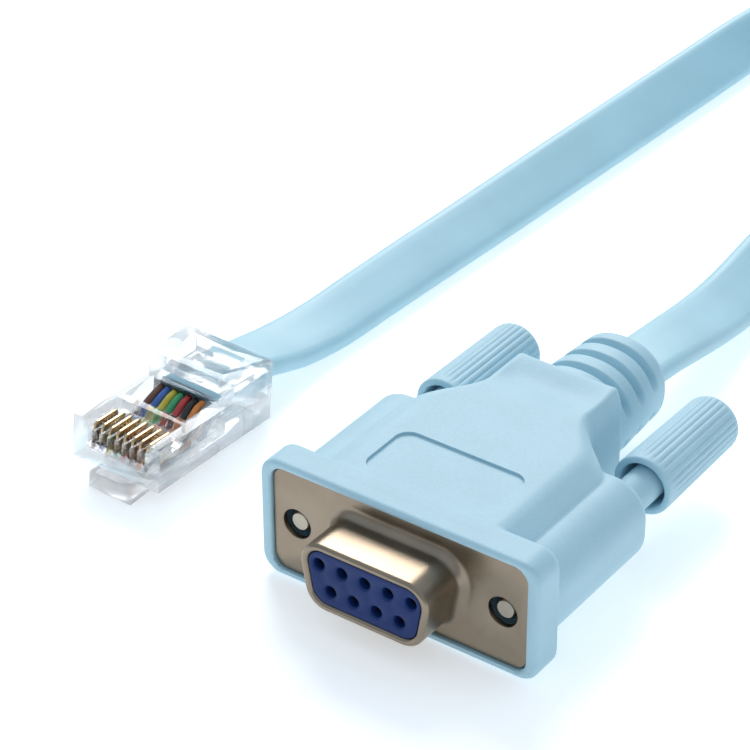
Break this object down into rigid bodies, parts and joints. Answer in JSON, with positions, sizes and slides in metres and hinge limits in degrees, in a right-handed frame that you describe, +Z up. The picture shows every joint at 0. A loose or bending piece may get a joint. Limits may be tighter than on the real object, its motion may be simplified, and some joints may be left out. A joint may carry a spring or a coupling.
{
  "type": "flat console cable with a nine-way screw-lock socket and an eight-way modular plug",
  "caption": "Flat light blue console cable, coiled, with a moulded D-shaped screw-lock socket at one end and a clear modular plug at the other.",
  "frame": {"origin": "bottom centre of the socket end's bounding box, on the floor it lies on; the cord and its plug are left out of that box", "axes": "+Z up, -Y out of the socket's mouth, +Y back along the cable, +X along the metal plate, to the right as seen from the front"},
  "size_m": [0.1045, 0.2052, 0.0173],
  "materials": {
    "hood_plastic": "light blue moulded PVC, finely grained",
    "cable_jacket": "light blue flexible PVC jacket, satin",
    "nickel": "nickel-plated pressed steel",
    "screw_steel": "nickel-plated turned steel",
    "insulator_blue": "deep blue moulded plastic",
    "contact_gold": "gold-plated copper alloy",
    "clear_plastic": "clear polycarbonate",
    "tie_strap": "soft black strap",
    "wire_brown": "brown wire insulation",
    "wire_blue": "blue wire insulation",
    "wire_yellow": "yellow wire insulation",
    "wire_green": "green wire insulation",
    "wire_red": "red wire insulation",
    "wire_black": "black wire insulation",
    "wire_orange": "orange wire insulation",
    "wire_grey": "grey wire insulation"
  },
  "bodies": {
    "connector": {"hood": "hood_plastic", "strain_relief": "hood_plastic", "front_plate": "nickel", "insulator": "insulator_blue", "socket_contact_1": "contact_gold", "socket_contact_2": "contact_gold", "socket_contact_3": "contact_gold", "socket_contact_4": "contact_gold", "socket_contact_5": "contact_gold", "socket_contact_6": "contact_gold", "socket_contact_7": "contact_gold", "socket_contact_8": "contact_gold", "socket_contact_9": "contact_gold", "cable_socket_run": "cable_jacket", "cable_coil": "cable_jacket", "cable_plug_run": "cable_jacket", "cable_in_plug": "cable_jacket", "cable_tie_left": "tie_strap", "cable_tie_right": "tie_strap", "plug_body": "clear_plastic", "plug_blade_1": "contact_gold", "plug_blade_2": "contact_gold", "plug_blade_3": "contact_gold", "plug_blade_4": "contact_gold", "plug_blade_5": "contact_gold", "plug_blade_6": "contact_gold", "plug_blade_7": "contact_gold", "plug_blade_8": "contact_gold", "plug_wire_1": "wire_brown", "plug_wire_2": "wire_blue", "plug_wire_3": "wire_yellow", "plug_wire_4": "wire_green", "plug_wire_5": "wire_red", "plug_wire_6": "wire_black", "plug_wire_7": "wire_orange", "plug_wire_8": "wire_grey"},
    "left_screw": {"screw_left": "screw_steel"},
    "left_knob": {"knob_left": "hood_plastic"},
    "right_screw": {"screw_right": "screw_steel"},
    "right_knob": {"knob_right": "hood_plastic"},
    "latch": {"plug_latch": "clear_plastic"}
  },
  "joints": [
    {"name": "left_screw_slide", "type": "slide", "parent": "connector", "child": "left_screw", "axis": [0, -1, 0], "range_m": [-0.002, 0.005]},
    {"name": "left_knob_turn", "type": "hinge", "parent": "left_screw", "child": "left_knob", "pos_m": [-0.01249, 0, 0.00705], "axis": [0, 1, 0], "continuous": true},
    {"name": "right_screw_slide", "type": "slide", "parent": "connector", "child": "right_screw", "axis": [0, -1, 0], "range_m": [-0.002, 0.005]},
    {"name": "right_knob_turn", "type": "hinge", "parent": "right_screw", "child": "right_knob", "pos_m": [0.01249, 0, 0.00705], "axis": [0, 1, 0], "continuous": true},
    {"name": "latch_flex", "type": "hinge", "parent": "connector", "child": "latch", "pos_m": [-0.03757, -0.01798, 0.00218], "axis": [0.9989, 0.0214, -0.0419], "range_deg": [-12, 1], "stiffness_Nm_per_rad": 0.05}
  ]
}
